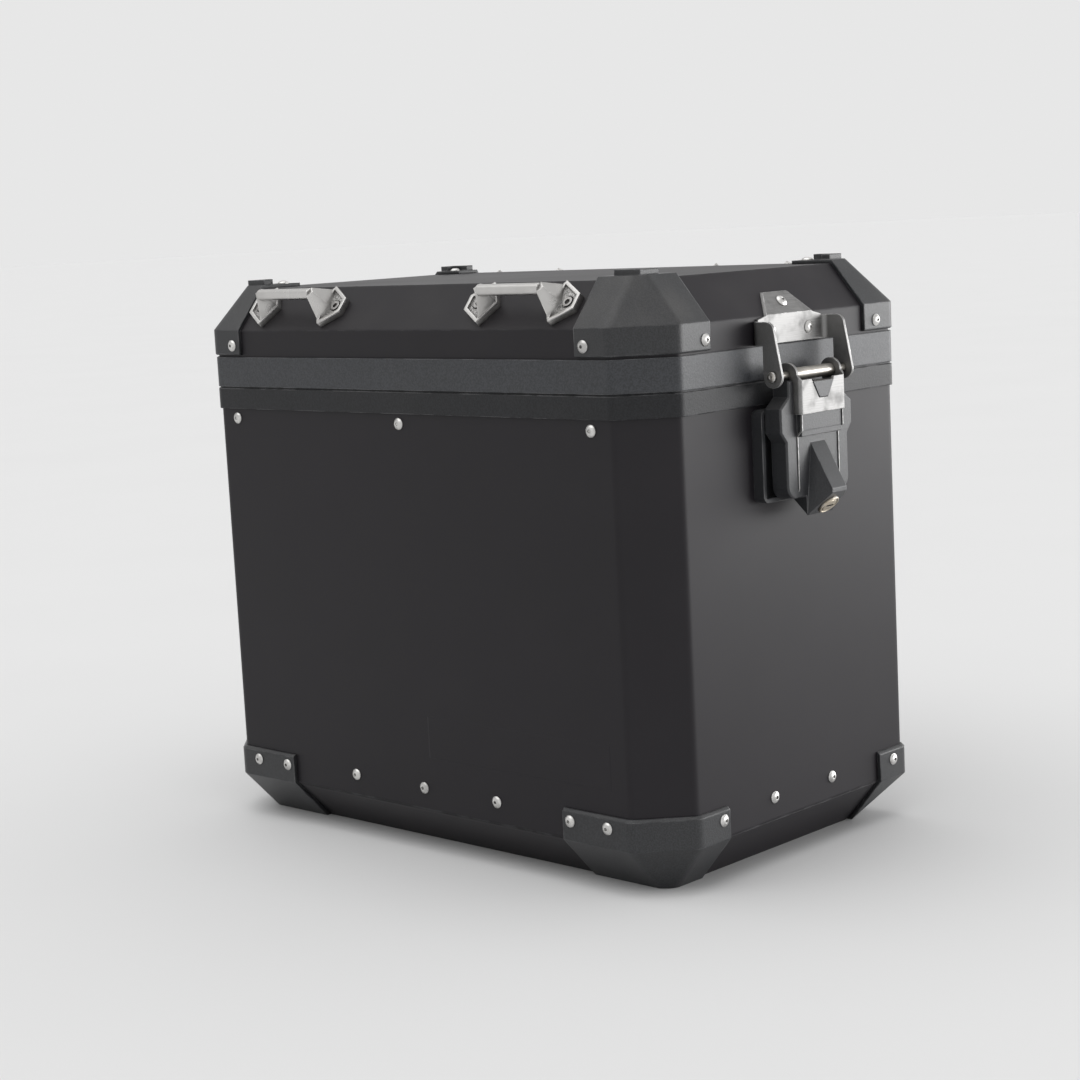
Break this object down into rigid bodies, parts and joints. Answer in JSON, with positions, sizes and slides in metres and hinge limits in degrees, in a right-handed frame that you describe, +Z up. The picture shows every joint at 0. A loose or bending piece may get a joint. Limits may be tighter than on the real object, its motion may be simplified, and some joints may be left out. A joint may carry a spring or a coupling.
{
  "type": "motorcycle side case",
  "caption": "Aluminium side case for an adventure motorcycle, with a lift-off lid, corner guards, lashing eyes, lever latches and claws for a tube carrier.",
  "frame": {"origin": "centre of the base, on the floor, midway between the end faces and the long faces", "axes": "+X towards the motorcycle's rear wheel, +Y towards the motorcycle, +Z up"},
  "size_m": [0.533, 0.303, 0.4097],
  "materials": {
    "sheet": "satin black powder coat on aluminium sheet",
    "rim": "fine grained black moulding",
    "corner": "fine grained charcoal moulding",
    "cast": "bright tumbled cast aluminium",
    "steel": "satin stainless steel",
    "moulding": "glass filled charcoal plastic",
    "lock": "plated lock cylinder",
    "seal": "matt foam rubber"
  },
  "bodies": {
    "case": {"body_shell": "sheet", "bottom_pan": "sheet", "body_rim": "rim", "guard_front_outer": "corner", "guard_front_inner": "corner", "guard_rear_outer": "corner", "guard_rear_inner": "corner", "latch_catch_front": "moulding", "latch_catch_rear": "moulding", "claw_front": "moulding", "claw_rear": "moulding", "saddle_lower": "moulding"},
    "lid": {"lid_shell": "sheet", "lid_rim": "rim", "lid_seal": "seal", "cover_front_outer": "corner", "cover_front_inner": "corner", "cover_rear_outer": "corner", "cover_rear_inner": "corner", "eye_front_outer": "cast", "eye_front_inner": "cast", "eye_rear_outer": "cast", "eye_rear_inner": "cast", "lid_bracket_front": "steel", "lid_bracket_rear": "steel", "latch_pin_front": "steel", "latch_pin_rear": "steel"},
    "latch_front": {"latch_lever_front": "moulding", "latch_hook_front": "steel", "latch_sleeve_front": "steel", "latch_lock_front": "lock"},
    "latch_rear": {"latch_lever_rear": "moulding", "latch_hook_rear": "steel", "latch_sleeve_rear": "steel", "latch_lock_rear": "lock"}
  },
  "joints": [
    {"name": "lid_hinge", "type": "hinge", "parent": "case", "child": "lid", "pos_m": [-0.245, 0.0125, 0.3345], "axis": [0, -1, 0], "range_deg": [0, 88]},
    {"name": "rear_latch_swing", "type": "hinge", "parent": "lid", "child": "latch_rear", "pos_m": [0.245, 0.0125, 0.3345], "axis": [0, -1, 0], "range_deg": [0, 110]},
    {"name": "front_latch_swing", "type": "hinge", "parent": "case", "child": "latch_front", "pos_m": [-0.245, 0.0125, 0.3345], "axis": [0, 1, 0], "range_deg": [0, 55]}
  ]
}
